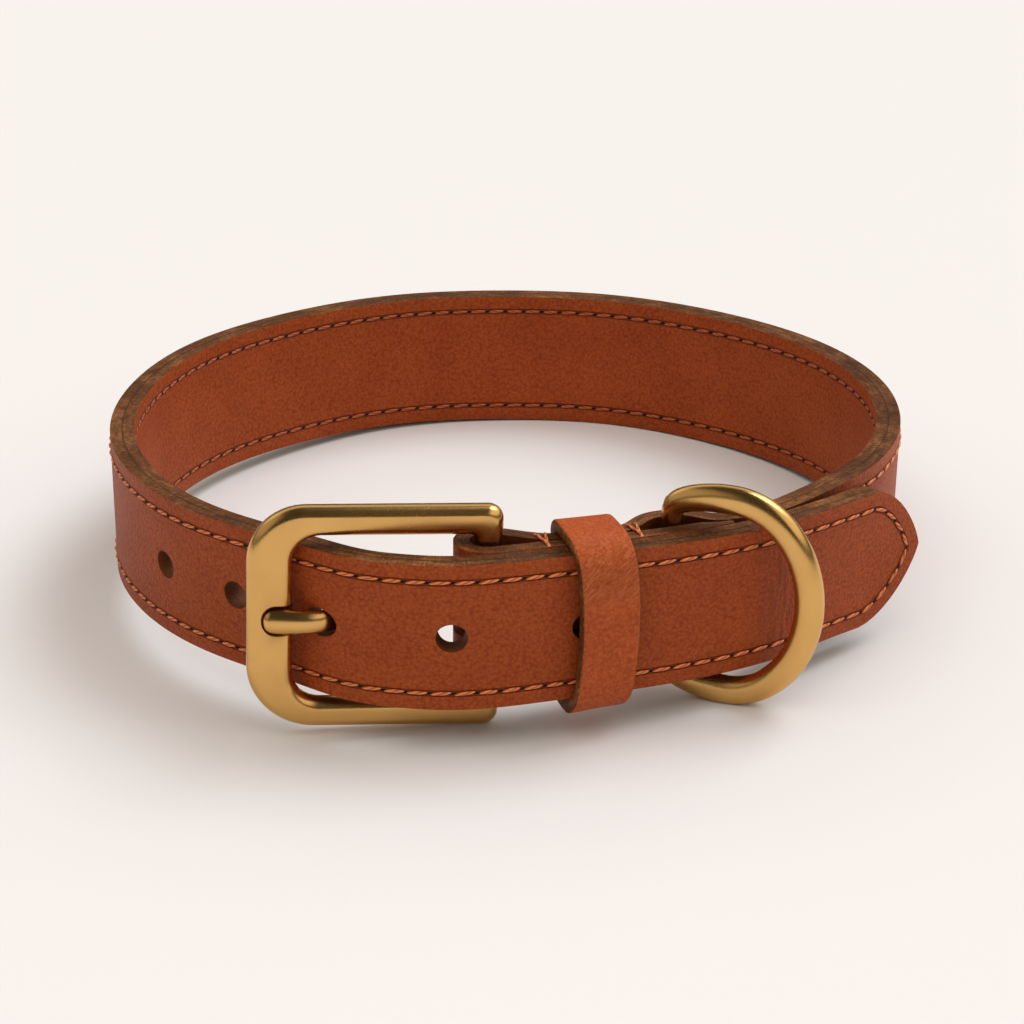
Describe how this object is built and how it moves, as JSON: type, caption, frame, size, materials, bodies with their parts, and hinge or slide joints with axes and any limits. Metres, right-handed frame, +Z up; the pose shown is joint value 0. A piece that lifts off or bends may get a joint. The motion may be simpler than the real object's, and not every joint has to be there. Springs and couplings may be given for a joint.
{
  "type": "pet collar",
  "caption": "Stitched leather pet collar, closed in a brass buckle whose prong lies in a notch, with a leather keeper, a D-ring for a lead and a pointed tail.",
  "frame": {"origin": "on the floor, under the middle of the loop as it stands on the buckle, the D-ring and the strap's back edge", "axes": "+Z up through the neck opening, -Y towards the buckle, +X towards the tip of the tail, -X towards the spare holes"},
  "size_m": [0.1379, 0.1374, 0.0399],
  "materials": {
    "strap": "satin",
    "keeper": "satin",
    "buckle_frame": "satin",
    "prong": "satin",
    "d_ring": "satin"
  },
  "bodies": {
    "collar": {"strap": "strap", "buckle_frame": "buckle_frame", "prong": "prong", "keeper": "keeper"},
    "ring": {"d_ring": "d_ring"}
  },
  "joints": [
    {"name": "ring_swing", "type": "hinge", "parent": "collar", "child": "ring", "pos_m": [0.02659, -0.04818, 0.01978], "axis": [-0.0528, 0.0208, -0.9984], "range_deg": [-8, 84]}
  ]
}
